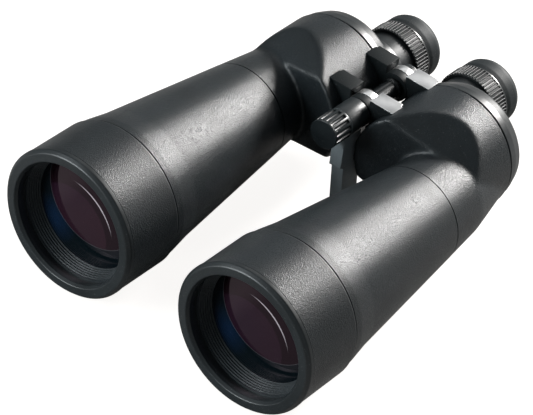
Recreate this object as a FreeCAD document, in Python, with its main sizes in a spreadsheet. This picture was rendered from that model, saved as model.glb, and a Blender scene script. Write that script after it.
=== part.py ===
import FreeCAD, Part
import math
import os

import Sketcher
from FreeCAD import Placement, Rotation, Vector

# Large porro-prism astronomy binoculars with a folding hinge and a tripod post.
# Millimetres and degrees. X runs across, +Y from the objectives to the eyepieces, +Z is up.
# The origin is under the middle of the whole object: the bells stand on Z = 0.

SIZES = [
    # overall layout
    ("barrel_offset", 64.0),      # objective axis from the mid-plane
    ("eye_offset", 29.3),         # eyepiece axis from the mid-plane
    ("eye_rise", 10.4),           # eyepiece axis above the objective axis
    ("hinge_rise", 26.5),         # hinge axis above the objective axis
    ("bell_length", 44.0),
    ("barrel_length", 112.0),
    ("housing_length", 64.0),
    ("cover_length", 14.5),
    ("eyepiece_length", 43.5),
    # objective end
    ("rim_r", 46.5),
    ("rim_bore_r", 38.1),
    ("rim_length", 4.8),
    ("bell_r", 46.2),
    ("bell_rear_r", 45.1),
    ("wall", 2.0),
    ("ledge", 8.0),               # length over which one tube plugs into the next
    ("glass_r", 36.5),
    ("glass_lip", 1.5),           # how far the rings reach over the edge of the glass
    ("ring_front", 9.0),          # front of the ridged retaining ring behind the rim
    ("glass_front", 18.0),        # edge of the front glass behind the rim
    ("front_bulge", 2.4),
    ("crown_edge", 4.5),
    ("joint_bulge", 2.6),
    ("flint_edge", 6.5),
    ("flint_bulge", 1.2),
    # barrel and prism housing
    ("shoulder_r", 42.4),
    ("shoulder_length", 19.0),
    ("neck_r", 31.5),
    ("neck_mid_r", 28.0),
    ("neck_mid_length", 29.0),
    ("neck_end_r", 20.0),
    ("housing_r", 39.5),
    ("housing_x", 46.4),
    ("housing_z", 6.3),
    ("housing_wall", 2.5),
    ("roof_front", 37.3),         # flat front of the housing ahead of the cover, on the neck axis
    ("roof_flat", 26.0),          # half-width of that flat front
    ("roof_slope", 1.32),         # set-back of the two side bevels per millimetre
    ("roof_tilt", 13.0),          # the flat front leans forward towards the hinge
    ("shelf_thickness", 3.0),
    ("shelf_back", 13.5),         # rear face of the prism shelf ahead of the cover
    ("prism_width", 25.6),
    ("prism_depth", 21.2),
    ("light_r", 12.3),            # holes that pass the light between the prisms
    ("cover_edge_r", 38.9),
    ("cover_back_r", 35.4),
    ("cover_round", 4.0),
    # eyepiece
    ("flange_r", 21.5),
    ("flange_length", 5.5),
    ("plug_r", 18.5),
    ("tube_r", 18.8),
    ("tube_bore_r", 15.4),
    ("tube_length", 18.5),
    ("base_bore_r", 13.6),
    ("focus_r", 21.4),
    ("focus_front", 17.2),        # front of the ribbed ring behind the cover
    ("focus_length", 12.6),
    ("rib_count", 60),
    ("rib_depth", 0.5),
    ("cup_r", 20.9),
    ("cup_mouth_r", 17.6),
    ("cup_round", 2.2),
    ("lens_r", 11.0),
    # hinge
    ("axle_r", 4.0),
    ("knuckle_r", 9.3),
    ("knuckle_length", 6.0),
    ("arm_inner_x", 7.0),
    ("arm_outer_x", 24.5),
    ("arm_top", 12.0),            # top of the arms above the hinge axis
    ("arm_drop", 9.5),            # bottom of the arms below the hinge axis
    ("arm_notch", 2.2),           # step cut in the outer rear corner of each arm
    ("front_arm", 41.1),          # front arms ahead of the cover
    ("rear_arm", 6.2),            # rear arms ahead of the cover
    ("sleeve_r", 5.9),
    ("collar_front", 57.8),       # post collar ahead of the cover
    ("collar_length", 15.6),
    ("washer_thickness", 0.7),
    ("stud_r", 3.2),
    ("knob_r", 9.4),
    ("knob_length", 16.0),
    ("flute_count", 16),
    ("flute_r", 1.25),
    ("cap_length", 4.0),
    # tripod post
    ("post_width", 8.4),
    ("post_lean", 6.0),
    ("post_depth", 16.4),
    ("post_swell", 2.4),
    ("foot_size", 18.0),
    ("foot_height", 12.0),
    ("insert_r", 6.0),
    ("thread_r", 3.175),
    ("thread_depth", 9.0),
    # fits
    ("seat_gap", 0.02),           # fixed pieces that sit together
    ("running_fit", 0.05),        # shafts in their bores
    ("glide", 0.35),              # faces that move past each other
]

doc = FreeCAD.newDocument("Binoculars")
sheet = doc.addObject("Spreadsheet::Sheet", "Sizes")
for row, (alias, amount) in enumerate(SIZES, 1):
    sheet.set("A%d" % row, alias)
    sheet.set("B%d" % row, str(amount))
    sheet.setAlias("B%d" % row, alias)
doc.recompute()

# Stations along the length, measured from the front of the rims.
NECK = "(Sizes.bell_length + Sizes.barrel_length)"
GROOVE = "(%s + Sizes.housing_length)" % NECK
BACK = "(%s + Sizes.cover_length)" % GROOVE
MIDDLE = "((%s + Sizes.eyepiece_length) / 2)" % BACK
SHELF = "(%s - Sizes.shelf_back)" % GROOVE
APERTURE = "(Sizes.glass_r - Sizes.glass_lip)"
# How far a domed glass rises between its edge and the lip that holds it.
LIP_RISE = "(1 - (%s / Sizes.glass_r) ^ 2)" % APERTURE

SIDES = (("left", 1), ("right", -1))
ALONG_Y = Rotation(Vector(1, 0, 0), -90)
nodes = []


def number(expression):
    """The value of an expression over the sheet."""
    found = sheet.evalExpression(expression)
    return float(getattr(found, "Value", found))


def put(piece, x, y, z, turn=None):
    """Place a piece by expressions: y behind the rims, z above the objective axes."""
    if turn is not None:
        piece.Placement = Placement(Vector(), turn)
    piece.setExpression("Placement.Base.x", x)
    piece.setExpression("Placement.Base.y", "(%s) - %s" % (y, MIDDLE))
    piece.setExpression("Placement.Base.z", "(%s) + Sizes.rim_r" % z)


def keep(piece, node):
    """Name a finished piece as one of the object's nodes."""
    piece.Label = node
    nodes.append(piece)
    return piece


def pin(sketch, kind, place, expression):
    """Hold a sketch point at an expression measured from the sketch's origin."""
    if expression == "0":
        axis = -2 if kind == "DistanceX" else -1
        sketch.addConstraint(Sketcher.Constraint("PointOnObject", place[0], place[1], axis))
        return
    item = sketch.addConstraint(
        Sketcher.Constraint(kind, -1, 1, place[0], place[1], number(expression)))
    name = "%s_%d" % (kind[-1], item)
    sketch.renameConstraint(item, name)
    sketch.setExpression("Constraints." + name, expression)


def add_side(sketch, start, end, domed):
    """One side of an outline: a straight line, or an arc centred on the upright axis."""
    if not domed:
        return sketch.addGeometry(Part.LineSegment(start, end)), 1, 2
    middle = (end.x ** 2 + end.y ** 2 - start.x ** 2 - start.y ** 2) / (2 * (end.y - start.y))
    centre = Vector(0, middle, 0)
    first = math.atan2(start.y - middle, start.x)
    last = math.atan2(end.y - middle, end.x)
    leftwards = (last - first) % (2 * math.pi) < math.pi
    span = (first, last) if leftwards else (last, first)
    circle = Part.Circle(centre, Vector(0, 0, 1), start.distanceToPoint(centre))
    item = sketch.addGeometry(Part.ArcOfCircle(circle, span[0], span[1]))
    sketch.addConstraint(Sketcher.Constraint("PointOnObject", item, 3, -2))
    return (item, 1, 2) if leftwards else (item, 2, 1)


def draw(body, plane, corners):
    """A closed sketch through (across, along[, "dome"]) expressions on one of the body's planes."""
    sketch = body.newObject("Sketcher::SketchObject", body.Name + "_outline")
    face = [item for item in body.Origin.OriginFeatures if item.Role == plane][0]
    sketch.AttachmentSupport = [(face, "")]
    sketch.MapMode = "FlatFace"
    spots = [Vector(number(corner[0]), number(corner[1]), 0) for corner in corners]
    sides = []
    for index, corner in enumerate(corners):
        end = spots[(index + 1) % len(corners)]
        sides.append(add_side(sketch, spots[index], end, len(corner) > 2))
    for index, (item, start, end) in enumerate(sides):
        after = sides[(index + 1) % len(sides)]
        sketch.addConstraint(Sketcher.Constraint("Coincident", item, end, after[0], after[1]))
    for corner, (item, start, end) in zip(corners, sides):
        pin(sketch, "DistanceX", (item, start), corner[0])
        pin(sketch, "DistanceY", (item, start), corner[1])
    return sketch


def soften(body, rounds):
    """Round circular edges of a turned body, each found by its (radius, along)."""
    for index, (radius, along, size) in enumerate(rounds):
        doc.recompute()
        last = body.Tip
        picked = []
        for number_of, edge in enumerate(last.Shape.Edges, 1):
            if edge.Curve.TypeId != "Part::GeomCircle":
                continue
            same_r = abs(edge.Curve.Radius - number(radius)) < 0.01
            same_y = abs(edge.Curve.Center.y - number(along)) < 0.01
            if same_r and same_y:
                picked.append("Edge%d" % number_of)
        fillet = body.newObject("PartDesign::Fillet", "%s_round_%d" % (body.Name, index))
        fillet.Base = (last, picked)
        fillet.setExpression("Radius", size)
        body.Tip = fillet


def turned(node, corners, rounds=()):
    """A body turned about its own Y axis from an outline of (radius, along) expressions."""
    body = doc.addObject("PartDesign::Body", node)
    sketch = draw(body, "XY_Plane", corners)
    spin = body.newObject("PartDesign::Revolution", node + "_turned")
    spin.Profile = sketch
    spin.ReferenceAxis = (sketch, ["V_Axis"])
    spin.Angle = 360
    body.Tip = spin
    soften(body, rounds)
    return body


def slab(node, plane, corners, thickness):
    """A flat body of even thickness, half to each side of its sketch plane."""
    body = doc.addObject("PartDesign::Body", node)
    sketch = draw(body, plane, corners)
    pad = body.newObject("PartDesign::Pad", node + "_pad")
    pad.Profile = sketch
    pad.setExpression("Length", thickness)
    pad.Midplane = True
    body.Tip = pad
    return body


def rod(name, radius, length, x, y, z):
    """A plain cylinder along Y, used as a form or a cutter."""
    piece = doc.addObject("Part::Cylinder", name)
    piece.setExpression("Radius", radius)
    piece.setExpression("Height", length)
    put(piece, x, y, z, ALONG_Y)
    return piece


def block(name, width, depth, height, x, y, z):
    """A plain box given by its lowest corner."""
    piece = doc.addObject("Part::Box", name)
    piece.setExpression("Length", width)
    piece.setExpression("Width", depth)
    piece.setExpression("Height", height)
    put(piece, x, y, z)
    return piece


def joined(name, pieces):
    whole = doc.addObject("Part::MultiFuse", name)
    whole.Shapes = pieces
    return whole


def shared(name, first, second):
    common = doc.addObject("Part::MultiCommon", name)
    common.Shapes = [first, second]
    return common


def less(name, base, tools):
    """A piece with other forms taken away from it."""
    tool = tools[0] if len(tools) == 1 else joined(name + "_tools", tools)
    cut = doc.addObject("Part::Cut", name)
    cut.Base = base
    cut.Tool = tool
    return cut


def grooved(body, groove_r, groove_at, length_from, length, count):
    """Cut evenly spaced lengthwise grooves round a turned body."""
    sketch = body.newObject("Sketcher::SketchObject", body.Name + "_groove_outline")
    face = [item for item in body.Origin.OriginFeatures if item.Role == "XZ_Plane"][0]
    sketch.AttachmentSupport = [(face, "")]
    sketch.MapMode = "FlatFace"
    sketch.setExpression("AttachmentOffset.Base.z", "-(%s)" % length_from)
    circle = Part.Circle(Vector(0, number(groove_at), 0), Vector(0, 0, 1), number(groove_r))
    item = sketch.addGeometry(circle)
    sketch.addConstraint(Sketcher.Constraint("PointOnObject", item, 3, -2))
    size = sketch.addConstraint(Sketcher.Constraint("Radius", item, number(groove_r)))
    sketch.setExpression("Constraints[%d]" % size, groove_r)
    pin(sketch, "DistanceY", (item, 3), groove_at)
    pocket = body.newObject("PartDesign::Pocket", body.Name + "_groove")
    pocket.Profile = sketch
    pocket.setExpression("Length", length)
    body.Tip = pocket
    doc.recompute()
    pattern = body.newObject("PartDesign::PolarPattern", body.Name + "_grooves")
    pattern.Originals = [pocket]
    pattern.Axis = ([item for item in body.Origin.OriginFeatures if item.Role == "Y_Axis"][0], [""])
    pattern.Angle = 360
    body.Tip = pattern
    pattern.setExpression("Occurrences", count)
    return body


def objective_pieces(label, sign):
    """Rim, bell, lens group and the long tapering barrel, all about one objective axis."""
    x = "%d * Sizes.barrel_offset" % sign
    bore = "(Sizes.bell_r - 1.5 * Sizes.wall)"

    rim = turned(label + "_objective_rim", [
        ("Sizes.rim_bore_r", "3.2"), ("Sizes.rim_bore_r + 2.6", "0"), ("Sizes.rim_r - 2.6", "0"),
        ("Sizes.rim_r", "2.6"), ("Sizes.rim_r", "Sizes.rim_length"),
        (bore, "Sizes.rim_length"), (bore, "Sizes.ring_front"),
        ("Sizes.rim_bore_r + 1.6", "Sizes.ring_front"), ("Sizes.rim_bore_r + 1.6", "5.6"),
        ("Sizes.rim_bore_r", "4.6"),
    ], [("Sizes.rim_r - 2.6", "0", "1.4"), ("Sizes.rim_r", "2.6", "1.4"),
        ("Sizes.rim_bore_r + 2.6", "0", "1.2")])
    put(rim, x, "0", "0")
    keep(rim, label + "_objective_rim")

    bell = turned(label + "_objective_bell", [
        (bore + " + Sizes.seat_gap", "Sizes.rim_length + Sizes.seat_gap"),
        ("Sizes.bell_r", "Sizes.rim_length + Sizes.seat_gap"),
        ("Sizes.bell_r", "Sizes.bell_length - 1.8"),
        ("Sizes.bell_rear_r", "Sizes.bell_length - 0.4"),
        (bore + " + Sizes.seat_gap", "Sizes.bell_length - 0.4"),
    ], [("Sizes.bell_r", "Sizes.bell_length - 1.8", "1.6")])
    put(bell, x, "0", "0")
    keep(bell, label + "_objective_bell")

    plug = "(%s - Sizes.wall)" % bore
    barrel = turned(label + "_objective_barrel", [
        (plug, "-Sizes.ledge"), (bore, "-Sizes.ledge"), (bore, "0"),
        ("Sizes.bell_rear_r", "0"), ("Sizes.bell_rear_r - 0.2", "5"),
        ("Sizes.shoulder_r", "Sizes.shoulder_length"),
        ("Sizes.neck_r", "Sizes.barrel_length - 0.4"),
        ("Sizes.neck_r - 1.6", "Sizes.barrel_length - 0.4"),
        ("Sizes.neck_r - 1.6", "Sizes.barrel_length + Sizes.ledge"),
        ("Sizes.neck_r - 1.6 - Sizes.wall", "Sizes.barrel_length + Sizes.ledge"),
        ("Sizes.neck_r - 1.6 - Sizes.wall", "Sizes.barrel_length - 0.4"),
        ("Sizes.shoulder_r - Sizes.wall", "Sizes.shoulder_length"),
        (plug, "0"),
    ])
    put(barrel, x, "Sizes.bell_length", "0")
    keep(barrel, label + "_objective_barrel")

    lift = "(Sizes.glass_front - Sizes.front_bulge * %s - Sizes.seat_gap)" % LIP_RISE
    ring = turned(label + "_retaining_ring", [
        ("Sizes.rim_bore_r + 0.4", "Sizes.ring_front + Sizes.seat_gap"),
        (bore + " - 0.1", "Sizes.ring_front + Sizes.seat_gap"),
        (bore + " - 0.1", lift), (APERTURE, lift),
        (APERTURE, "Sizes.glass_front - 1"),
        (APERTURE + " + 0.9", "Sizes.glass_front - 1.6"),
        (APERTURE + " + 0.9", "Sizes.glass_front - 3.4"),
        (APERTURE + " + 1.8", "Sizes.glass_front - 4"),
        (APERTURE + " + 1.8", "Sizes.glass_front - 5.8"),
        (APERTURE + " + 2.7", "Sizes.glass_front - 6.4"),
    ])
    put(ring, x, "0", "0")
    keep(ring, label + "_retaining_ring")

    pocket = "(Sizes.glass_r + Sizes.running_fit)"
    depth = ("(Sizes.crown_edge + Sizes.flint_edge + Sizes.flint_bulge * %s"
             " + Sizes.running_fit + Sizes.seat_gap)" % LIP_RISE)
    cell = turned(label + "_objective_cell", [
        (pocket, "0"), (bore + " - 0.1", "0"), (bore + " - 0.1", depth + " + 2.5"),
        (APERTURE, depth + " + 2.5"), (APERTURE, depth), (pocket, depth),
    ])
    put(cell, x, "Sizes.glass_front", "0")
    keep(cell, label + "_objective_cell")

    crown = turned(label + "_objective_crown", [
        ("0", "-Sizes.front_bulge", "dome"), ("Sizes.glass_r", "0"),
        ("Sizes.glass_r", "Sizes.crown_edge", "dome"),
        ("0", "Sizes.crown_edge + Sizes.joint_bulge"),
    ])
    put(crown, x, "Sizes.glass_front", "0")
    keep(crown, label + "_objective_crown")

    flint = turned(label + "_objective_flint", [
        ("0", "Sizes.joint_bulge", "dome"), ("Sizes.glass_r", "0"),
        ("Sizes.glass_r", "Sizes.flint_edge", "dome"),
        ("0", "Sizes.flint_edge + Sizes.flint_bulge"),
    ])
    put(flint, x, "Sizes.glass_front + Sizes.crown_edge + Sizes.running_fit", "0")
    keep(flint, label + "_objective_flint")


def housing_direction(sign):
    """The turn that lays a form's Z from the objective axis towards the eyepiece axis."""
    across = number("Sizes.barrel_offset - Sizes.eye_offset")
    angle = math.degrees(math.atan2(across, number("Sizes.eye_rise")))
    return Rotation(Vector(0, 1, 0), -sign * angle)


def roofed_form(name, sign, radius, inset):
    """The housing's round form, its front cut to a leaning flat with two side bevels."""
    x = "%d * Sizes.barrel_offset" % sign
    front = GROOVE + " - Sizes.roof_front + " + inset
    roof = slab(name + "_roof", "XY_Plane", [
        ("Sizes.roof_flat", "0"), ("-Sizes.roof_flat", "0"),
        ("-Sizes.roof_flat - 40", "40 * Sizes.roof_slope"), ("-Sizes.roof_flat - 40", "120"),
        ("Sizes.roof_flat + 40", "120"), ("Sizes.roof_flat + 40", "40 * Sizes.roof_slope"),
    ], "300")
    lean = Rotation(Vector(1, 0, 0), number("Sizes.roof_tilt"))
    put(roof, x, front, "0", housing_direction(sign).multiply(lean))
    round_form = rod(name + "_round", radius, "Sizes.housing_length",
                     "%d * Sizes.housing_x" % sign, NECK, "Sizes.housing_z")
    return shared(name, round_form, roof)


def prism(node, x, z, y, turn):
    """A truncated right-angle prism whose long face lies at y and whose roof points along +Y."""
    glass = slab(node, "XY_Plane", [
        ("-Sizes.prism_width", "0"), ("Sizes.prism_width", "0"),
        ("Sizes.prism_width - Sizes.prism_depth", "Sizes.prism_depth"),
        ("-Sizes.prism_width + Sizes.prism_depth", "Sizes.prism_depth"),
    ], "Sizes.prism_width")
    put(glass, x, y, z, turn)
    return keep(glass, node)


def housing_pieces(label, sign):
    """Prism housing with its neck, the shelf and prisms inside, and the rear cover."""
    axis_x = "%d * Sizes.barrel_offset" % sign
    body_x = "%d * Sizes.housing_x" % sign

    neck = turned(label + "_neck_form", [
        ("0", "0"), ("Sizes.neck_r", "0"), ("Sizes.neck_mid_r", "Sizes.neck_mid_length"),
        ("Sizes.neck_end_r", "Sizes.housing_length"), ("0", "Sizes.housing_length"),
    ])
    put(neck, axis_x, NECK, "0")
    hollow = "(Sizes.neck_r - 1.6 + Sizes.seat_gap)"
    passage = turned(label + "_neck_hollow", [
        ("0", "0"), (hollow, "0"), (hollow, "Sizes.ledge + 0.4"),
        ("Sizes.neck_mid_r - 2 * Sizes.housing_wall", "Sizes.neck_mid_length"),
        ("Sizes.neck_end_r - Sizes.housing_wall", "Sizes.housing_length - Sizes.shelf_back"),
        ("0", "Sizes.housing_length - Sizes.shelf_back"),
    ])
    put(passage, axis_x, NECK, "0")
    outside = joined(label + "_housing_outside", [
        neck, roofed_form(label + "_housing_form", sign, "Sizes.housing_r", "0")])
    inside = joined(label + "_housing_inside", [
        passage, roofed_form(label + "_housing_hollow", sign,
                             "Sizes.housing_r - Sizes.housing_wall", "1.35 * Sizes.housing_wall")])
    keep(less(label + "_prism_housing", outside, [inside]), label + "_prism_housing")

    mid_x = "(Sizes.barrel_offset + Sizes.eye_offset) / 2"
    mid_z = "Sizes.eye_rise / 2"
    half_x = "(Sizes.barrel_offset - Sizes.eye_offset) / 2"
    # The light crosses over on an axis square to the line between the two outer axes.
    cross_x = "(%s + %s)" % (mid_x, mid_z)
    cross_z = "(%s + %s)" % (mid_z, half_x)
    plate = rod(label + "_shelf_plate", "Sizes.housing_r - Sizes.housing_wall - Sizes.running_fit",
                "Sizes.shelf_thickness", body_x, SHELF + " - Sizes.shelf_thickness", "Sizes.housing_z")
    holes = []
    for index, (x, z) in enumerate((("Sizes.barrel_offset", "0"), (cross_x, cross_z),
                                    ("Sizes.eye_offset", "Sizes.eye_rise"))):
        holes.append(rod("%s_shelf_hole_%d" % (label, index), "Sizes.light_r",
                         "3 * Sizes.shelf_thickness", "%d * %s" % (sign, x),
                         SHELF + " - 2 * Sizes.shelf_thickness", z))
    keep(less(label + "_prism_shelf", plate, holes), label + "_prism_shelf")

    rise = math.degrees(math.atan2(number(cross_z), number("Sizes.barrel_offset - " + cross_x)))
    rear_turn = Rotation(Vector(0, 1, 0), sign * rise)
    front_turn = Rotation(Vector(0, 1, 0), sign * (rise - 90)).multiply(Rotation(Vector(1, 0, 0), 180))
    prism(label + "_rear_prism", "%d * (Sizes.barrel_offset + %s) / 2" % (sign, cross_x),
          cross_z + " / 2", SHELF + " + Sizes.seat_gap", rear_turn)
    prism(label + "_front_prism", "%d * (Sizes.eye_offset + %s) / 2" % (sign, cross_x),
          "(Sizes.eye_rise + %s) / 2" % cross_z,
          SHELF + " - Sizes.shelf_thickness - Sizes.seat_gap", front_turn)

    inner_r = "(Sizes.housing_r - Sizes.housing_wall)"
    cap = turned(label + "_cover_form", [
        (inner_r + " - Sizes.seat_gap", "-3"), (inner_r + " - Sizes.seat_gap", "0.8"),
        ("Sizes.cover_edge_r", "0.8"), ("Sizes.cover_back_r", "Sizes.cover_length"),
        ("0", "Sizes.cover_length"), ("0", "Sizes.cover_length - Sizes.housing_wall"),
        ("Sizes.cover_back_r - Sizes.housing_wall", "Sizes.cover_length - Sizes.housing_wall"),
        (inner_r + " - 2", "-3"),
    ], [("Sizes.cover_back_r", "Sizes.cover_length", "Sizes.cover_round")])
    put(cap, body_x, GROOVE, "Sizes.housing_z")
    mouth = rod(label + "_cover_mouth", "Sizes.plug_r + Sizes.seat_gap", "2 * Sizes.cover_length",
                "%d * Sizes.eye_offset" % sign, GROOVE + " + 4", "Sizes.eye_rise")
    keep(less(label + "_prism_cover", cap, [mouth]), label + "_prism_cover")


def eyepiece_pieces(label, sign):
    """Fixed base and tube, the lens cell that slides in it, and the ribbed ring with its cup."""
    x = "%d * Sizes.eye_offset" % sign
    z = "Sizes.eye_rise"
    tube_end = "(Sizes.flange_length + Sizes.tube_length)"
    web = "(Sizes.focus_front + Sizes.focus_length)"
    cell_r = "(Sizes.tube_bore_r - Sizes.glide)"

    base = turned(label + "_eyepiece_base", [
        ("Sizes.base_bore_r", "-Sizes.housing_wall"), ("Sizes.plug_r", "-Sizes.housing_wall"),
        ("Sizes.plug_r", "Sizes.seat_gap"), ("Sizes.flange_r", "Sizes.seat_gap"),
        ("Sizes.flange_r - 0.8", "Sizes.flange_length"),
        ("Sizes.base_bore_r", "Sizes.flange_length"),
    ], [("Sizes.flange_r - 0.8", "Sizes.flange_length", "1.2")])
    put(base, x, BACK, z)
    keep(base, label + "_eyepiece_base")

    tube = turned(label + "_eyepiece_tube", [
        ("Sizes.tube_bore_r", "Sizes.flange_length + Sizes.seat_gap"),
        ("Sizes.tube_r", "Sizes.flange_length + Sizes.seat_gap"),
        ("Sizes.tube_r", tube_end), ("Sizes.tube_bore_r", tube_end),
    ])
    put(tube, x, BACK, z)
    keep(tube, label + "_eyepiece_tube")

    cell = turned(label + "_ocular_cell", [
        ("Sizes.lens_r + Sizes.running_fit", "Sizes.flange_length + 3"),
        (cell_r, "Sizes.flange_length + 3"), (cell_r, web + " + 4"),
        ("Sizes.lens_r - 1", web + " + 4"), ("Sizes.lens_r - 1", web + " + 3"),
        ("Sizes.lens_r + Sizes.running_fit", web + " + 3"),
    ])
    put(cell, x, BACK, z)
    keep(cell, label + "_ocular_cell")

    field = turned(label + "_field_lens", [
        ("0", "0"), ("Sizes.lens_r", "0"), ("Sizes.lens_r", "3", "dome"), ("0", "6"),
    ])
    put(field, x, BACK + " + Sizes.flange_length + 4", z)
    keep(field, label + "_field_lens")

    eye = turned(label + "_eye_lens", [
        ("0", "-6"), ("Sizes.lens_r", "-6"), ("Sizes.lens_r", "-2.5", "dome"), ("0", "0"),
    ])
    put(eye, x, "%s + %s + 2.8" % (BACK, web), z)
    keep(eye, label + "_eye_lens")

    bore = "(Sizes.tube_r + Sizes.glide)"
    ring = turned(label + "_focus_ring", [
        (bore, "Sizes.focus_front"), ("Sizes.focus_r - 0.5", "Sizes.focus_front"),
        ("Sizes.focus_r", "Sizes.focus_front + 0.5"),
        ("Sizes.focus_r", web + " - 0.4"), ("Sizes.focus_r - 0.6", web),
        ("Sizes.cup_mouth_r", web), ("Sizes.cup_mouth_r", web + " + 3"),
        (cell_r + " + Sizes.running_fit", web + " + 3"),
        (cell_r + " + Sizes.running_fit", web + " - 2"), (bore, web + " - 2"),
    ])
    grooved(ring, "Sizes.rib_depth", "Sizes.focus_r", "Sizes.focus_front + 0.7",
            "Sizes.focus_length - 1.3", "Sizes.rib_count")
    put(ring, x, BACK, z)
    keep(ring, label + "_focus_ring")

    cup = turned(label + "_eyecup", [
        ("Sizes.cup_mouth_r + Sizes.seat_gap", web + " + Sizes.seat_gap"),
        ("Sizes.cup_r - 0.4", web + " + Sizes.seat_gap"),
        ("Sizes.cup_r", "Sizes.eyepiece_length - 4"),
        ("Sizes.cup_r", "Sizes.eyepiece_length"),
        ("Sizes.cup_mouth_r", "Sizes.eyepiece_length"),
        ("Sizes.tube_bore_r + 0.6", web + " + 4.6"), ("Sizes.tube_bore_r + 0.6", web + " + 3.1"),
        ("Sizes.cup_mouth_r + Sizes.seat_gap", web + " + 3.1"),
    ], [("Sizes.cup_r", "Sizes.eyepiece_length", "Sizes.cup_round"),
        ("Sizes.cup_mouth_r", "Sizes.eyepiece_length", "0.9")])
    put(cup, x, BACK, z)
    keep(cup, label + "_eyecup")


def hinge_arm(node, sign, start, own_first):
    """One arm: a block on the housing and a knuckle in the front or rear half of its width."""
    width = "(2 * Sizes.knuckle_length)"
    shift = "0" if own_first else "Sizes.knuckle_length"
    other = "Sizes.knuckle_length" if own_first else "0"
    low = "Sizes.hinge_rise - Sizes.arm_drop"
    left_edge = "Sizes.arm_inner_x" if sign > 0 else "-Sizes.arm_outer_x"
    form = block(node + "_block", "Sizes.arm_outer_x - Sizes.arm_inner_x", width,
                 "Sizes.arm_top + Sizes.arm_drop", left_edge, start, low)
    notch_edge = "%d * Sizes.arm_outer_x - Sizes.arm_notch" % sign
    cleared = less(node + "_cleared", form, [
        block(node + "_notch", "2 * Sizes.arm_notch", width, "2 * Sizes.arm_top", notch_edge,
              "%s + %s - Sizes.arm_notch" % (start, width), "Sizes.hinge_rise"),
        rod(node + "_clearance", "Sizes.knuckle_r + Sizes.glide", "Sizes.knuckle_length",
            "0", "%s + %s" % (start, other), "Sizes.hinge_rise"),
        rod(node + "_seat", "Sizes.housing_r + Sizes.seat_gap", "3 * " + width,
            "%d * Sizes.housing_x" % sign, "%s - %s" % (start, width), "Sizes.housing_z")])
    knuckle = rod(node + "_knuckle", "Sizes.knuckle_r", "Sizes.knuckle_length - Sizes.glide",
                  "0", "%s + %s" % (start, shift), "Sizes.hinge_rise")
    arm = joined(node + "_arm", [cleared, knuckle])
    axle_hole = rod(node + "_hole", "Sizes.axle_r + Sizes.running_fit", "3 * " + width,
                    "0", "%s - %s" % (start, width), "Sizes.hinge_rise")
    keep(less(node, arm, [axle_hole]), node)


def hinge_pieces():
    """Arms, axle, sleeve, washers and end cap, all about the hinge axis."""
    front = "(%s - Sizes.front_arm)" % GROOVE
    rear = "(%s - Sizes.rear_arm)" % GROOVE
    for label, sign in SIDES:
        hinge_arm(label + "_front_hinge_arm", sign, front, sign < 0)
        hinge_arm(label + "_rear_hinge_arm", sign, rear, sign < 0)
    rise = "Sizes.hinge_rise"
    rear_end = "(2 * Sizes.knuckle_length - Sizes.rear_arm)"
    stud_end = "(3 - Sizes.collar_front - Sizes.knob_length)"
    axle = turned("hinge_axle", [
        ("0", stud_end), ("Sizes.stud_r", stud_end), ("Sizes.stud_r", "-Sizes.collar_front"),
        ("Sizes.axle_r", "-Sizes.collar_front"), ("Sizes.axle_r", rear_end + " + 2"),
        ("0", rear_end + " + 2"),
    ])
    put(axle, "0", GROOVE, rise)
    keep(axle, "hinge_axle")

    bore = "Sizes.axle_r + Sizes.running_fit"
    sleeve_from = "(2 * Sizes.knuckle_length - Sizes.front_arm)"
    sleeve_to = "-(Sizes.rear_arm + Sizes.glide)"
    sleeve = turned("hinge_sleeve", [
        (bore, sleeve_from), ("Sizes.sleeve_r", sleeve_from),
        ("Sizes.sleeve_r", sleeve_to), (bore, sleeve_to),
    ])
    put(sleeve, "0", GROOVE, rise)
    keep(sleeve, "hinge_sleeve")

    washer_from = "(Sizes.collar_length - Sizes.collar_front + Sizes.running_fit)"
    washers = []
    for index, step in enumerate(("0", "0.5 * Sizes.washer_thickness")):
        ring_r = "Sizes.knuckle_r" if index == 0 else "Sizes.sleeve_r + 1"
        last = "%s + %s + %s" % (washer_from, step, "0.5 * Sizes.washer_thickness")
        ring = turned("hinge_washer_%d" % (index + 1), [
            (bore, washer_from + " + " + step), (ring_r, washer_from + " + " + step),
            (ring_r, last), (bore, last),
        ])
        put(ring, "0", GROOVE, rise)
        washers.append(ring)
    keep(joined("hinge_washers", washers), "hinge_washers")

    cap = turned("rear_hinge_cap", [
        ("Sizes.axle_r + Sizes.seat_gap", rear_end), ("Sizes.knuckle_r - 0.6", rear_end),
        ("Sizes.knuckle_r - 0.6", rear_end + " + Sizes.cap_length"),
        ("0", rear_end + " + Sizes.cap_length"), ("0", rear_end + " + 2 + Sizes.seat_gap"),
        ("Sizes.axle_r + Sizes.seat_gap", rear_end + " + 2 + Sizes.seat_gap"),
    ], [("Sizes.knuckle_r - 0.6", rear_end + " + Sizes.cap_length", "0.8")])
    put(cap, "0", GROOVE, rise)
    keep(cap, "rear_hinge_cap")

    knob_bore = "Sizes.stud_r + Sizes.running_fit"
    knob_back = "-(Sizes.collar_front + Sizes.glide)"
    knob_front = "-(Sizes.collar_front + Sizes.knob_length)"
    knob = turned("clamp_knob", [
        ("0", knob_front), ("Sizes.knob_r", knob_front), ("Sizes.knob_r", knob_back),
        (knob_bore, knob_back), (knob_bore, stud_end + " - 1"), ("0", stud_end + " - 1"),
    ], [("Sizes.knob_r", knob_front, "0.5")])
    grooved(knob, "Sizes.flute_r", "Sizes.knob_r + 0.2 * Sizes.flute_r", knob_front + " + 1.4",
            "Sizes.knob_length - 3.2", "Sizes.flute_count")
    put(knob, "0", GROOVE, rise)
    keep(knob, "clamp_knob")


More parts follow.
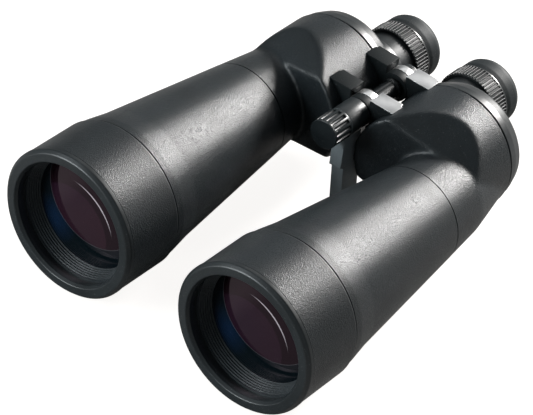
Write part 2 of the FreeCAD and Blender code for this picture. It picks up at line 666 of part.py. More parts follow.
def post_pieces():
    """The tripod post: collar on the axle, tapered bar, square foot and its threaded insert."""
    lean = Rotation(Vector(0, 1, 0), -number("Sizes.post_lean"))
    half = "Sizes.foot_size / 2"
    # The foot's lower edge touches the ground with the post leaning.
    drop = ("((Sizes.hinge_rise + Sizes.rim_r - %s * sin(Sizes.post_lean * 1deg))"
            " / cos(Sizes.post_lean * 1deg))" % half)
    back = "Sizes.collar_length / 2"
    bar = slab("post_bar", "YZ_Plane", [
        (back, "0"), (back, "-(%s) + 2" % drop),
        (back + " - Sizes.post_depth + 1.2", "-(%s) + 2" % drop),
        (back + " - Sizes.post_depth + 1.2", "-1.15 * Sizes.hinge_rise"),
        (back + " - Sizes.post_depth - Sizes.post_swell + 1", "-1.1 * Sizes.hinge_rise"),
        (back + " - Sizes.post_depth + 1", "-Sizes.knob_r - 1"),
        (back + " - Sizes.post_depth + 1", "0"),
    ], "Sizes.post_width")
    collar = turned("post_collar", [
        ("0", "-%s" % back), ("Sizes.knuckle_r", "-%s" % back), ("Sizes.knuckle_r", back),
        ("0", back),
    ])
    foot = slab("post_foot", "XY_Plane", [
        ("-" + half, "-" + half), (half, "-" + half), (half, half), ("-" + half, half),
    ], "Sizes.foot_height")
    foot.Placement = Placement(Vector(0, 0, number("-(%s) + Sizes.foot_height / 2" % drop)), Rotation())
    bore = doc.addObject("Part::Cylinder", "post_bore")
    bore.setExpression("Radius", "Sizes.axle_r + Sizes.running_fit")
    bore.setExpression("Height", "3 * Sizes.collar_length")
    bore.Placement = Placement(Vector(0, number("-1.5 * Sizes.collar_length"), 0), ALONG_Y)
    pocket = doc.addObject("Part::Cylinder", "post_pocket")
    pocket.setExpression("Radius", "Sizes.insert_r + Sizes.seat_gap")
    pocket.setExpression("Height", "Sizes.thread_depth")
    pocket.setExpression("Placement.Base.z", "-(%s)" % drop)
    post = less("tripod_post", joined("post_form", [bar, collar, foot]), [bore, pocket])
    middle = "%s - Sizes.collar_front + Sizes.collar_length / 2" % GROOVE
    put(post, "0", middle, "Sizes.hinge_rise", lean)
    keep(post, "tripod_post")

    insert = turned("thread_insert_form", [
        ("Sizes.thread_r", "0"), ("Sizes.insert_r", "0"),
        ("Sizes.insert_r", "Sizes.thread_depth - Sizes.seat_gap"),
        ("Sizes.thread_r", "Sizes.thread_depth - Sizes.seat_gap"),
    ])
    reach = number(drop)
    angle = math.radians(number("Sizes.post_lean"))
    upright = Rotation(Vector(0, 1, 0), -number("Sizes.post_lean")).multiply(
        Rotation(Vector(1, 0, 0), 90))
    put(insert, "%f" % (reach * math.sin(angle)), middle,
        "Sizes.hinge_rise - %f" % (reach * math.cos(angle)), upright)
    keep(insert, "thread_insert")


for label, sign in SIDES:
    objective_pieces(label, sign)
    housing_pieces(label, sign)
    eyepiece_pieces(label, sign)
hinge_pieces()
post_pieces()
doc.recompute()

for piece in doc.Objects:
    if "Invalid" in piece.State or "Error" in piece.State:
        raise RuntimeError("not built: " + piece.Name)
for piece in nodes:
    if piece.Shape.isNull() or not piece.Shape.isValid():
        raise RuntimeError("bad shape: " + piece.Label)

os.makedirs("parts", exist_ok=True)
for piece in nodes:
    piece.Shape.exportStep("parts/%s.step" % piece.Label)
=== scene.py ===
import math

import bmesh
import bpy
from mathutils import Matrix, Vector


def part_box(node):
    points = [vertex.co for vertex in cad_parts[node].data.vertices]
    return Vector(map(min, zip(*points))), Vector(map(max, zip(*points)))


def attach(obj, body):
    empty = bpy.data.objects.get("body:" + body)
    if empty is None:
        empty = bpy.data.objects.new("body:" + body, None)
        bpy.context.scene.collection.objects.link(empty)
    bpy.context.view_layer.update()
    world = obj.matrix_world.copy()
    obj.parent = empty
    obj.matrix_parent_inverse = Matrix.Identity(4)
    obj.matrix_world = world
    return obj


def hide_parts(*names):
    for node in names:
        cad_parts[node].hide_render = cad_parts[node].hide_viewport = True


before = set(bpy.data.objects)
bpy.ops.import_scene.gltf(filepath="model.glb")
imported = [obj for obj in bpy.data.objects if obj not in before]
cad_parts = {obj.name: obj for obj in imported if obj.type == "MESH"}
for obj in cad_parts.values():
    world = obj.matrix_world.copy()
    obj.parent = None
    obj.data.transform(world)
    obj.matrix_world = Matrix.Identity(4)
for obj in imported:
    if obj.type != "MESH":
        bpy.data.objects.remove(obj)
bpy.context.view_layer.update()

# Porro-prism astronomy binoculars: turned tubes, cast prism housings and a folding hinge.
# Metres. The frame's nodes give every axis, radius and station.

MM = 0.001
SIDES = (("left", 1), ("right", -1))


class Seat:
    """Where a turned node lies: its axis, outer radius and two ends."""

    def __init__(self, node):
        low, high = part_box(node)
        self.x = (low[0] + high[0]) / 2
        self.z = (low[2] + high[2]) / 2
        self.radius = (high[0] - low[0]) / 2
        self.front = low[1]
        self.back = high[1]
        self.length = high[1] - low[1]


# ---------------------------------------------------------------- meshes

def soft_outline(corners, steps=5):
    """Outline points, each corner (radius, along, rounding) turned through a small arc."""
    out = []
    count = len(corners)
    for index, corner in enumerate(corners):
        here = Vector(corner[:2])
        rounding = corner[2] if len(corner) > 2 else 0
        if not rounding:
            out.append(here)
            continue
        back = (Vector(corners[index - 1][:2]) - here)
        ahead = (Vector(corners[(index + 1) % count][:2]) - here)
        half = back.angle(ahead) / 2
        reach = min(rounding / math.tan(half), 0.48 * back.length, 0.48 * ahead.length)
        if reach < 1e-6:
            out.append(here)
            continue
        size = reach * math.tan(half)
        back.normalize()
        ahead.normalize()
        centre = here + (back + ahead).normalized() * (size / math.sin(half))
        first = here + back * reach - centre
        last = here + ahead * reach - centre
        turn = first.angle_signed(last)
        out.append(here + back * min(1.3 * reach, 0.49 * back.length + reach))
        for step in range(steps + 1):
            out.append(centre + Matrix.Rotation(-turn * step / steps, 2) @ first)
        out.append(here + ahead * 1.3 * reach)
    return out


def dome(edge_radius, edge_along, rise, steps=14):
    """Points over a shallow dome, from its centre out to its edge."""
    points = []
    for step in range(steps + 1):
        share = step / steps
        points.append((edge_radius * share, edge_along + rise * (1 - share * share)))
    return points


def turned(name, x, z, outline, around=180):
    """A closed turned mesh about an axis along Y from (radius, along) points."""
    shell = bmesh.new()
    rings = []
    for radius, along in outline:
        if radius < 1e-6:
            rings.append([shell.verts.new((x, along, z))])
            continue
        ring = []
        for step in range(around):
            angle = 2 * math.pi * step / around
            ring.append(shell.verts.new(
                (x + radius * math.cos(angle), along, z + radius * math.sin(angle))))
        rings.append(ring)
    for index, ring in enumerate(rings):
        after = rings[(index + 1) % len(rings)]
        if len(ring) == 1 and len(after) == 1:
            continue
        for step in range(around):
            beside = (step + 1) % around
            if len(ring) == 1:
                shell.faces.new((ring[0], after[beside], after[step]))
            elif len(after) == 1:
                shell.faces.new((ring[step], ring[beside], after[0]))
            else:
                shell.faces.new((ring[step], ring[beside], after[beside], after[step]))
    bmesh.ops.recalc_face_normals(shell, faces=shell.faces)
    return from_shell(name, shell)


def from_shell(name, shell, crease=32):
    """An object at the origin from a bmesh, smooth except over sharp creases."""
    mesh = bpy.data.meshes.new(name)
    shell.to_mesh(mesh)
    shell.free()
    return from_mesh(name, mesh, crease)


def from_mesh(name, mesh, crease=32):
    mesh.polygons.foreach_set("use_smooth", [True] * len(mesh.polygons))
    mesh.set_sharp_from_angle(angle=math.radians(crease))
    piece = bpy.data.objects.new(name, mesh)
    bpy.context.scene.collection.objects.link(piece)
    return piece


def settled(piece, crease=32):
    """The piece with its modifiers worked into a plain mesh."""
    bpy.context.view_layer.update()
    depsgraph = bpy.context.evaluated_depsgraph_get()
    mesh = bpy.data.meshes.new_from_object(piece.evaluated_get(depsgraph))
    name = piece.name
    bpy.data.objects.remove(piece)
    return from_mesh(name, mesh, crease)


def machined_copy(name, node, bevel, segments=3):
    """A copy of a CAD node with its sharp edges broken."""
    shell = bmesh.new()
    shell.from_mesh(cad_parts[node].data)
    bmesh.ops.remove_doubles(shell, verts=shell.verts, dist=2e-6)
    bmesh.ops.dissolve_limit(shell, angle_limit=math.radians(0.8), verts=shell.verts, edges=shell.edges)
    piece = from_shell(name, shell)
    edges = piece.modifiers.new("Broken edges", "BEVEL")
    edges.width = bevel
    edges.segments = segments
    edges.limit_method = "ANGLE"
    edges.angle_limit = math.radians(40)
    edges.use_clamp_overlap = True
    edges.harden_normals = False
    return settled(piece, 40)


def finish(piece, material, body, slot, *nodes):
    """Give a piece its material and body, and let it stand for its CAD nodes."""
    piece.data.materials.clear()
    piece.data.materials.append(material)
    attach(piece, body)
    if nodes:
        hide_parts(*nodes)
    return piece


def second_material(piece, material, chosen):
    """Put another material on the chosen faces of a piece."""
    piece.data.materials.append(material)
    for face in piece.data.polygons:
        if chosen(face):
            face.material_index = 1


# ---------------------------------------------------------------- geometry node trees

def rib_tree():
    """Ribs standing in a ring about the Y axis."""
    tree = bpy.data.node_groups.new("Ring of ribs", "GeometryNodeTree")
    for name, kind, amount in (
            ("Rib Count", "NodeSocketInt", 24), ("Ring Radius", "NodeSocketFloat", 0.01),
            ("Rib Radius", "NodeSocketFloat", 0.001), ("Rib Start", "NodeSocketFloat", 0.0),
            ("Rib End", "NodeSocketFloat", 0.01)):
        socket = tree.interface.new_socket(name, in_out="INPUT", socket_type=kind)
        socket.default_value = amount
    tree.interface.new_socket("Rib Material", in_out="INPUT", socket_type="NodeSocketMaterial")
    tree.interface.new_socket("Geometry", in_out="OUTPUT", socket_type="NodeSocketGeometry")
    add, link = tree.nodes.new, tree.links.new
    given = add("NodeGroupInput")
    ring = add("GeometryNodeMeshCircle")
    link(given.outputs["Rib Count"], ring.inputs["Vertices"])
    link(given.outputs["Ring Radius"], ring.inputs["Radius"])
    start = add("ShaderNodeCombineXYZ")
    link(given.outputs["Rib Start"], start.inputs["Z"])
    end = add("ShaderNodeCombineXYZ")
    link(given.outputs["Rib End"], end.inputs["Z"])
    line = add("GeometryNodeCurvePrimitiveLine")
    link(start.outputs[0], line.inputs["Start"])
    link(end.outputs[0], line.inputs["End"])
    section = add("GeometryNodeCurvePrimitiveCircle")
    section.inputs["Resolution"].default_value = 10
    link(given.outputs["Rib Radius"], section.inputs["Radius"])
    rib = add("GeometryNodeCurveToMesh")
    rib.inputs["Fill Caps"].default_value = True
    link(line.outputs[0], rib.inputs["Curve"])
    link(section.outputs[0], rib.inputs["Profile Curve"])
    place = add("GeometryNodeInstanceOnPoints")
    link(ring.outputs[0], place.inputs["Points"])
    link(rib.outputs[0], place.inputs["Instance"])
    real = add("GeometryNodeRealizeInstances")
    link(place.outputs[0], real.inputs[0])
    lay = add("GeometryNodeTransform")
    lay.inputs["Rotation"].default_value = (-math.pi / 2, 0, 0)
    link(real.outputs[0], lay.inputs["Geometry"])
    dress = add("GeometryNodeSetMaterial")
    link(lay.outputs[0], dress.inputs["Geometry"])
    link(given.outputs["Rib Material"], dress.inputs["Material"])
    out = add("NodeGroupOutput")
    link(dress.outputs[0], out.inputs["Geometry"])
    return tree


def grown(name, tree, values, x=0.0, z=0.0):
    """A plain mesh from a geometry node tree, moved to its axis."""
    piece = bpy.data.objects.new(name, bpy.data.meshes.new(name))
    bpy.context.scene.collection.objects.link(piece)
    modifier = piece.modifiers.new(tree.name, "NODES")
    modifier.node_group = tree
    for item in tree.interface.items_tree:
        if item.in_out == "INPUT" and item.name in values:
            modifier[item.identifier] = values[item.name]
    piece = settled(piece, 60)
    piece.data.transform(Matrix.Translation((x, 0, z)))
    return piece


def merged(first, *others):
    """Several plain pieces joined into the first."""
    shell = bmesh.new()
    for piece in (first,) + others:
        shell.from_mesh(piece.data)
    name = first.name
    for piece in (first,) + others:
        bpy.data.objects.remove(piece)
    return from_shell(name, shell, 40)


# ---------------------------------------------------------------- shader node groups

def new_group(name, takes, gives):
    tree = bpy.data.node_groups.new(name, "ShaderNodeTree")
    for label, kind, amount in takes:
        socket = tree.interface.new_socket(label, in_out="INPUT", socket_type=kind)
        if amount is not None:
            socket.default_value = amount
    for label, kind in gives:
        tree.interface.new_socket(label, in_out="OUTPUT", socket_type=kind)
    return tree, tree.nodes.new("NodeGroupInput"), tree.nodes.new("NodeGroupOutput")


def noise(tree, vector, scale, detail=3.0, rough=0.55):
    node = tree.nodes.new("ShaderNodeTexNoise")
    node.inputs["Detail"].default_value = detail
    node.inputs["Roughness"].default_value = rough
    tree.links.new(vector, node.inputs["Vector"])
    if isinstance(scale, (int, float)):
        node.inputs["Scale"].default_value = scale
    else:
        tree.links.new(scale, node.inputs["Scale"])
    return node.outputs["Fac"]


def math_node(tree, operation, first, second):
    node = tree.nodes.new("ShaderNodeMath")
    node.operation = operation
    for socket, value in zip(node.inputs, (first, second)):
        if isinstance(value, (int, float)):
            socket.default_value = value
        else:
            tree.links.new(value, socket)
    return node.outputs[0]


def stretch(tree, value, low, high, to_low=0.0, to_high=1.0):
    node = tree.nodes.new("ShaderNodeMapRange")
    tree.links.new(value, node.inputs["Value"])
    for name, amount in (("From Min", low), ("From Max", high), ("To Min", to_low), ("To Max", to_high)):
        node.inputs[name].default_value = amount
    return node.outputs["Result"]


def mix(tree, factor, first, second):
    node = tree.nodes.new("ShaderNodeMix")
    node.data_type = "RGBA"
    tree.links.new(factor, node.inputs["Factor"])
    for socket, value in ((node.inputs[6], first), (node.inputs[7], second)):
        if isinstance(value, tuple):
            socket.default_value = value if len(value) == 4 else value + (1.0,)
        else:
            tree.links.new(value, socket)
    return node.outputs[2]


def pebble_group():
    """Fine pebble grain: rounded cells of uneven size with finer tooth over them."""
    tree, given, out = new_group(
        "Pebble grain",
        (("Position", "NodeSocketVector", None), ("Cells per Metre", "NodeSocketFloat", 900.0)),
        (("Height", "NodeSocketFloat"), ("Valley", "NodeSocketFloat")))
    cells = tree.nodes.new("ShaderNodeTexVoronoi")
    cells.feature = "F1"
    tree.links.new(given.outputs["Position"], cells.inputs["Vector"])
    tree.links.new(given.outputs["Cells per Metre"], cells.inputs["Scale"])
    finer = math_node(tree, "MULTIPLY", given.outputs["Cells per Metre"], 2.3)
    tooth = noise(tree, given.outputs["Position"], finer, 2.0)
    bump = stretch(tree, cells.outputs["Distance"], 0.05, 0.75, 1.0, 0.0)
    height = math_node(tree, "ADD", bump, math_node(tree, "MULTIPLY", tooth, 0.3))
    tree.links.new(height, out.inputs["Height"])
    tree.links.new(stretch(tree, height, 0.3, 1.1, 1.0, 0.0), out.inputs["Valley"])
    return tree


def handling_group():
    """Broad unevenness from use: faint smears, dust and a few fine scratches."""
    tree, given, out = new_group(
        "Handling", (("Position", "NodeSocketVector", None),),
        (("Smear", "NodeSocketFloat"), ("Dust", "NodeSocketFloat"), ("Scratch", "NodeSocketFloat")))
    place = given.outputs["Position"]
    tree.links.new(stretch(tree, noise(tree, place, 38.0, 4.0), 0.35, 0.7), out.inputs["Smear"])
    tree.links.new(stretch(tree, noise(tree, place, 1400.0, 2.0), 0.66, 0.74), out.inputs["Dust"])
    lines = tree.nodes.new("ShaderNodeMapping")
    lines.inputs["Scale"].default_value = (900.0, 45.0, 900.0)
    lines.inputs["Rotation"].default_value = (0.2, 0.1, 0.35)
    tree.links.new(place, lines.inputs["Vector"])
    tree.links.new(stretch(tree, noise(tree, lines.outputs[0], 1.0, 1.0), 0.7, 0.78), out.inputs["Scratch"])
    return tree


PEBBLE = pebble_group()
HANDLING = handling_group()


def fresh(name, **settings):
    """A new material with its Principled shader, object position and handling marks."""
    material = bpy.data.materials.new(name)
    material.use_nodes = True
    tree = material.node_tree
    shader = tree.nodes["Principled BSDF"]
    for label, amount in settings.items():
        shader.inputs[label.replace("_", " ")].default_value = amount
    place = tree.nodes.new("ShaderNodeTexCoord").outputs["Object"]
    marks = tree.nodes.new("ShaderNodeGroup")
    marks.node_tree = HANDLING
    tree.links.new(place, marks.inputs["Position"])
    return material, tree, shader, place, marks.outputs


def bumped(tree, shader, height, depth, strength=1.0):
    node = tree.nodes.new("ShaderNodeBump")
    node.inputs["Distance"].default_value = depth
    node.inputs["Strength"].default_value = strength
    tree.links.new(height, node.inputs["Height"])
    tree.links.new(node.outputs["Normal"], shader.inputs["Normal"])


def grained(name, colour, cells, depth, rough):
    """Black pebble-grained covering."""
    material, tree, shader, place, marks = fresh(name)
    grain = tree.nodes.new("ShaderNodeGroup")
    grain.node_tree = PEBBLE
    grain.inputs["Cells per Metre"].default_value = cells
    tree.links.new(place, grain.inputs["Position"])
    dark = tuple(0.45 * part for part in colour)
    worn = tuple(min(1.0, 1.5 * part + 0.01) for part in colour)
    tone = mix(tree, grain.outputs["Valley"], colour, dark)
    tone = mix(tree, math_node(tree, "MULTIPLY", marks["Smear"], 0.35), tone, worn)
    tone = mix(tree, math_node(tree, "MULTIPLY", marks["Dust"], 0.25), tone, (0.4, 0.4, 0.4))
    tree.links.new(tone, shader.inputs["Base Color"])
    gloss = math_node(tree, "ADD", math_node(tree, "MULTIPLY", marks["Smear"], -0.08), rough)
    tree.links.new(math_node(tree, "ADD", gloss, math_node(
        tree, "MULTIPLY", grain.outputs["Valley"], 0.15)), shader.inputs["Roughness"])
    bumped(tree, shader, grain.outputs["Height"], depth)
    return material


def enamel(name, colour, rough, tooth_scale=2600.0, depth=0.00002, metal=0.0, scratch=0.3):
    """Painted or anodised metal: fine tooth, smears, dust and hairline scratches."""
    material, tree, shader, place, marks = fresh(name, Metallic=metal)
    tooth = noise(tree, place, tooth_scale, 3.0)
    worn = tuple(min(1.0, 2.2 * part + 0.03) for part in colour)
    dark = tuple(0.7 * part for part in colour)
    tone = mix(tree, marks["Smear"], dark, colour)
    tone = mix(tree, math_node(tree, "MULTIPLY", marks["Scratch"], scratch), tone, worn)
    tone = mix(tree, math_node(tree, "MULTIPLY", marks["Dust"], 0.18), tone, (0.42, 0.42, 0.42))
    tree.links.new(tone, shader.inputs["Base Color"])
    uneven = math_node(tree, "MULTIPLY", tooth, 0.12)
    smear = math_node(tree, "MULTIPLY", marks["Smear"], 0.07)
    tree.links.new(math_node(tree, "ADD", rough - 0.08, math_node(
        tree, "ADD", uneven, smear)), shader.inputs["Roughness"])
    bumped(tree, shader, tooth, depth)
    return material


def painted_lens_reflections_group():
    """Painted reflections in the glass, laid on by position: two discs, a painted crescent highlight along
    the edge of one, and a blue patch.
    """
    tree, given, out = new_group(
        "Painted lens reflections", (("Position", "NodeSocketVector", None), ("Centre", "NodeSocketVector", None)),
        (("Magenta reflection", "NodeSocketFloat"), ("Dark inner reflection", "NodeSocketFloat"), ("Edge", "NodeSocketFloat"),
         ("Blue", "NodeSocketFloat")))
    offset = tree.nodes.new("ShaderNodeVectorMath")
    offset.operation = "SUBTRACT"
    tree.links.new(given.outputs["Position"], offset.inputs[0])
    tree.links.new(given.outputs["Centre"], offset.inputs[1])
    flat = tree.nodes.new("ShaderNodeVectorMath")
    flat.operation = "MULTIPLY"
    flat.inputs[1].default_value = (1.0, 0.0, 1.0)
    tree.links.new(offset.outputs[0], flat.inputs[0])

    def reach(x, z):
        node = tree.nodes.new("ShaderNodeVectorMath")
        node.operation = "DISTANCE"
        node.inputs[1].default_value = (x * MM, 0.0, z * MM)
        tree.links.new(flat.outputs[0], node.inputs[0])
        return node.outputs["Value"]

    # Masks of the painted reflections: the magenta disc, the darker disc inside it, the crescent highlight
    # and the blue patch.
    tree.links.new(stretch(tree, reach(4.2, 14.2), 32.6 * MM, 33.0 * MM, 1.0, 0.0), out.inputs["Magenta reflection"])
    tree.links.new(stretch(tree, reach(-9.4, -14.4), 26.2 * MM, 27.0 * MM, 1.0, 0.0), out.inputs["Dark inner reflection"])
    outer = stretch(tree, reach(-8.2, -12.0), 29.2 * MM, 29.6 * MM, 1.0, 0.0)
    inner = stretch(tree, reach(-11.1, -16.0), 33.3 * MM, 33.8 * MM)
    # The crescent between two offset circles is a painted highlight, and a faint painted bright ring runs
    # round the magenta disc.
    arc = math_node(tree, "MULTIPLY", outer, inner)
    rim = math_node(tree, "MULTIPLY", stretch(tree, reach(4.2, 14.2), 32.8 * MM, 33.0 * MM),
                    stretch(tree, reach(4.2, 14.2), 33.1 * MM, 33.3 * MM, 1.0, 0.0))
    tree.links.new(math_node(tree, "ADD", arc, math_node(tree, "MULTIPLY", rim, 0.12)), out.inputs["Edge"])
    tree.links.new(stretch(tree, reach(-22.0, -17.0), 3 * MM, 17 * MM, 1.0, 0.0), out.inputs["Blue"])
    return tree


PAINTED_LENS_REFLECTIONS = painted_lens_reflections_group()


def coated_lens(name, centre):
    """Dark coated glass with painted reflections: a brownish magenta disc, blue beside it, near black below
    and a pale crescent highlight.
    """
    material, tree, shader, place, marks = fresh(
        name, IOR=1.6, Specular_Tint=(1.0, 0.72, 0.84, 1.0))
    # Painted reflections of the lamps, laid on the glass by position.
    depth = tree.nodes.new("ShaderNodeGroup")
    depth.node_tree = PAINTED_LENS_REFLECTIONS
    depth.inputs["Centre"].default_value = centre
    tree.links.new(place, depth.inputs["Position"])
    film = noise(tree, place, 16.0, 1.0)
    beside = mix(tree, depth.outputs["Blue"], (0.003, 0.006, 0.008), (0.004, 0.012, 0.03))
    magenta_reflection = mix(tree, stretch(tree, film, 0.3, 0.7), (0.021, 0.008, 0.013), (0.015, 0.006, 0.013))
    magenta_reflection = mix(tree, depth.outputs["Dark inner reflection"], (0.008, 0.003, 0.005), magenta_reflection)
    tone = mix(tree, depth.outputs["Magenta reflection"], beside, magenta_reflection)
    # Painted crescent highlight, pale pink.
    tone = mix(tree, depth.outputs["Edge"], tone, (0.5, 0.44, 0.47))
    tone = mix(tree, math_node(tree, "MULTIPLY", marks["Dust"], 0.05), tone, (0.3, 0.3, 0.3))
    tree.links.new(tone, shader.inputs["Base Color"])
    tree.links.new(math_node(tree, "ADD", 0.015, math_node(
        tree, "MULTIPLY", marks["Smear"], 0.02)), shader.inputs["Roughness"])
    return material


def clear_glass(name, tint):
    material, tree, shader, _, marks = fresh(name, IOR=1.57, Transmission_Weight=0.9)
    shader.inputs["Base Color"].default_value = tint + (1.0,)
    tree.links.new(math_node(tree, "MULTIPLY", marks["Smear"], 0.03), shader.inputs["Roughness"])
    return material


GRAINED = grained("Pebble grained covering", (0.013, 0.018, 0.021), 1600.0, 0.00011, 0.27)
SATIN = enamel("Satin black enamel", (0.016, 0.02, 0.022), 0.36)
GLOSS = enamel("Gloss black enamel", (0.006, 0.008, 0.009), 0.24, depth=0.000006)
DARK = enamel("Dull black enamel", (0.006, 0.009, 0.01), 0.5)
# Much lighter than the black post is: painted light from the floor on the post's bar and front faces.
POST_PAINTED_LIGHT = enamel("Post enamel lightened for painted floor light", (0.3, 0.34, 0.36), 0.45)
ANODISED = enamel("Matt black anodising", (0.03, 0.036, 0.04), 0.36)
KNOB = enamel("Moulded black knob", (0.012, 0.016, 0.018), 0.3)
BRIGHT = enamel("Bright satin aluminium", (0.9, 0.9, 0.9), 0.34, metal=1.0, scratch=0.15)
STEEL = enamel("Ground steel", (0.5, 0.5, 0.52), 0.3, metal=1.0)
BRASS = enamel("Turned brass", (0.72, 0.55, 0.28), 0.3, metal=1.0)
RUBBER = enamel("Soft black rubber", (0.012, 0.017, 0.019), 0.58,
                tooth_scale=1500.0, depth=0.00006, scratch=0.1)
GRIP = enamel("Ribbed black rubber", (0.012, 0.015, 0.016), 0.34,
              tooth_scale=1800.0, depth=0.00003, scratch=0.2)
for dull, amount in ((DARK, 0.2), (RUBBER, 0.3)):
    dull.node_tree.nodes["Principled BSDF"].inputs["Specular IOR Level"].default_value = amount
CLEAR = clear_glass("Polished clear glass", (0.8, 0.85, 0.82))
RIBS = rib_tree()


# ---------------------------------------------------------------- objective end

def objective(label):
    """Rim, bell, ridged ring, front glass and tapering barrel of one side."""
    body = label + "_half"
    rim = Seat(label + "_objective_rim")
    bell = Seat(label + "_objective_bell")
    barrel = Seat(label + "_objective_barrel")
    ring = Seat(label + "_retaining_ring")
    crown = Seat(label + "_objective_crown")
    x, z, front = rim.x, rim.z, rim.front
    mouth = 38.1 * MM
    bore = bell.radius - 3 * MM
    piece = turned(label + "_rim", x, z, soft_outline([
        (mouth, front + 2.0 * MM, 0.5 * MM), (mouth + 1.4 * MM, front, 0.9 * MM),
        (rim.radius - 2.0 * MM, front, 1.6 * MM), (rim.radius, front + 2.2 * MM, 1.4 * MM),
        (rim.radius, bell.front - 0.2 * MM, 0.25 * MM), (bore, bell.front - 0.2 * MM),
        (bore, ring.front), (mouth + 1.6 * MM, ring.front),
        (mouth + 1.6 * MM, front + 5.6 * MM), (mouth, front + 4.8 * MM, 0.3 * MM)]))
    finish(piece, SATIN, body, "satin_black", label + "_objective_rim")

    step = bell.radius - 45.1 * MM
    piece = turned(label + "_bell", x, z, soft_outline([
        (bore, bell.front), (bell.radius, bell.front, 0.35 * MM),
        (bell.radius, bell.back - 1.5 * MM, 1.4 * MM),
        (bell.radius - step, bell.back - 0.1 * MM, 0.3 * MM), (bore, bell.back - 0.1 * MM)]))
    finish(piece, GRAINED, body, "grained_black", label + "_objective_bell")

    start = bell.back + 0.35 * MM
    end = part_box(label + "_prism_housing")[0][1] - 0.35 * MM
    radius = barrel.radius
    neck = 31.5 * MM
    piece = turned(label + "_barrel", x, z, soft_outline([
        (bore - 0.1 * MM, start - 7 * MM), (bore - 0.1 * MM, start),
        (radius, start, 0.35 * MM), (radius - 0.3 * MM, start + 5 * MM, 14 * MM),
        (radius - 2.9 * MM, start + 19.5 * MM, 40 * MM), (neck, end, 0.35 * MM),
        (neck - 2 * MM, end), (neck - 2 * MM, end + 5 * MM),
        (neck - 5 * MM, end + 5 * MM), (neck - 5 * MM, end), (bore - 4 * MM, start)]))
    finish(piece, GRAINED, body, "grained_black", label + "_objective_barrel")

    inner = crown.radius - 1.5 * MM
    glass_edge = ring.back
    ridges = [(bore - 0.2 * MM, glass_edge), (bore - 0.2 * MM, ring.front), (mouth + 0.3 * MM, ring.front)]
    count = 6
    for index in range(count):
        share = index / count
        after = (index + 1) / count
        depth_from = ring.front + share * (ring.length - 0.6 * MM)
        depth_to = ring.front + after * (ring.length - 0.6 * MM)
        wide = mouth + 0.3 * MM - share * (mouth - inner)
        ridges += [(wide, depth_from + 0.3 * MM, 0.1 * MM),
                   (wide, depth_to - 0.2 * MM, 0.1 * MM),
                   (wide - (mouth - inner) / count - 0.35 * MM, depth_to, 0.12 * MM)]
    ridges += [(inner, glass_edge, 0.1 * MM)]
    piece = turned(label + "_ridged_ring", x, z, soft_outline(ridges, 3))
    finish(piece, ANODISED, body, "anodised_black", label + "_retaining_ring")

    edge = glass_edge + 0.2 * MM
    rise = edge - crown.front
    face = [(radius_at, 2 * edge - along) for radius_at, along in dome(crown.radius, edge, rise)]
    piece = turned(label + "_front_glass", x, z, face + [
        (crown.radius, edge + 4 * MM), (0.0, edge + 4 * MM)])
    # The front glass carries painted reflections centred on its axis.
    glass = coated_lens(label.capitalize() + " coated front glass", (x, 0.0, z))
    finish(piece, glass, body, "coated_glass", label + "_objective_crown")


# ---------------------------------------------------------------- prism housing

ROOF_FRONT = 37.3 * MM
ROOF_FLAT = 26 * MM
ROOF_SLOPE = 1.32
ROOF_LEAN = math.radians(13)


